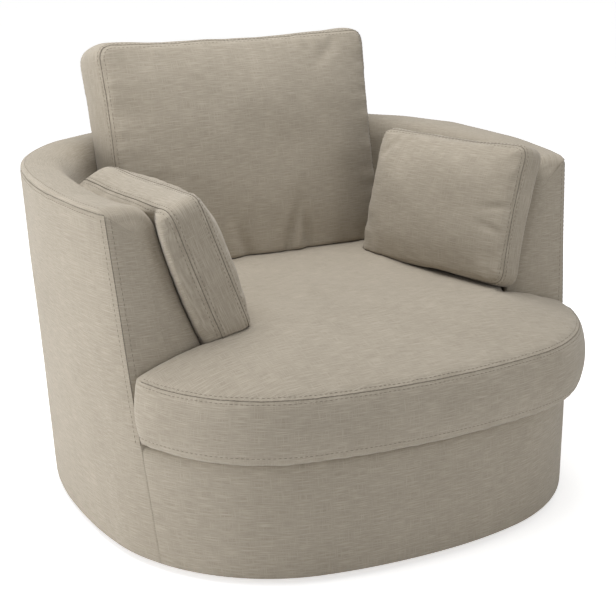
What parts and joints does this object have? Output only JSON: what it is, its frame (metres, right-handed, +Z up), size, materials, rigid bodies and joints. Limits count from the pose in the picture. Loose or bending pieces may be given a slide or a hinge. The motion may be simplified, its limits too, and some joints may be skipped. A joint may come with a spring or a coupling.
{
  "type": "round armchair",
  "caption": "Round tub armchair with a low swivel base, a loose full-front seat cushion, a loose back cushion and loose side cushions in woven fabric.",
  "frame": {"origin": "on the floor under the swivel axis, which is the middle of the chair's plan", "axes": "+Z up, the chair faces -Y, +X to the right as seen from the front"},
  "size_m": [1.0472, 1.0429, 0.8479],
  "materials": {
    "linen": "greige linen-look weave",
    "lining_cloth": "black non-woven lining",
    "foam": "upholstery foam and fibre wadding",
    "felt": "grey felt",
    "plywood": "raw birch plywood",
    "fibreboard": "raw hardboard",
    "steel": "zinc-plated steel",
    "cage_plastic": "natural nylon"
  },
  "bodies": {
    "swivel_base": {"floor_felt": "felt", "plinth_board": "plywood", "lower_swivel_plate": "steel", "lower_plate_screws": "steel", "ball_cage": "cage_plastic", "bearing_balls": "steel", "kingpin": "steel", "kingpin_washer": "steel", "kingpin_nut": "steel"},
    "tub": {"upper_swivel_plate": "steel", "upper_plate_screws": "steel", "bottom_board": "plywood", "dust_cover": "lining_cloth", "bottom_rail": "plywood", "base_panel": "fibreboard", "base_wadding": "foam", "base_studs": "plywood", "seat_ring": "plywood", "top_rail": "plywood", "top_rail_screws": "steel", "wall_ribs": "plywood", "left_arm_front_board": "plywood", "right_arm_front_board": "plywood", "left_arm_front_pad": "foam", "right_arm_front_pad": "foam", "outer_panel": "fibreboard", "inner_panel": "fibreboard", "seat_springs": "steel", "spring_clips": "steel", "deck_pad": "felt", "deck_cloth": "lining_cloth", "outer_wadding": "foam", "inner_foam": "foam", "rim_foam": "foam", "outside_cover": "linen", "inside_cover": "linen", "front_base_cover": "linen"},
    "seat_cushion": {"seat_cushion_cover": "linen", "seat_cushion_filling": "foam"},
    "back_cushion": {"back_cushion_cover": "linen", "back_cushion_filling": "foam"},
    "left_cushion": {"left_cushion_cover": "linen", "left_cushion_filling": "foam"},
    "right_cushion": {"right_cushion_cover": "linen", "right_cushion_filling": "foam"}
  },
  "joints": [
    {"name": "swivel", "type": "hinge", "parent": "swivel_base", "child": "tub", "pos_m": [0, 0, 0], "axis": [0, 0, 1], "continuous": true},
    {"name": "seat_lift", "type": "slide", "parent": "tub", "child": "seat_cushion", "axis": [0, 0, 1], "range_m": [0, 0.45]},
    {"name": "back_lift", "type": "slide", "parent": "seat_cushion", "child": "back_cushion", "axis": [0, 0.261, 0.9653], "range_m": [0, 0.32]},
    {"name": "left_lift", "type": "slide", "parent": "seat_cushion", "child": "left_cushion", "axis": [0, 0, 1], "range_m": [0, 0.3]},
    {"name": "right_lift", "type": "slide", "parent": "seat_cushion", "child": "right_cushion", "axis": [0, 0, 1], "range_m": [0, 0.3]}
  ]
}
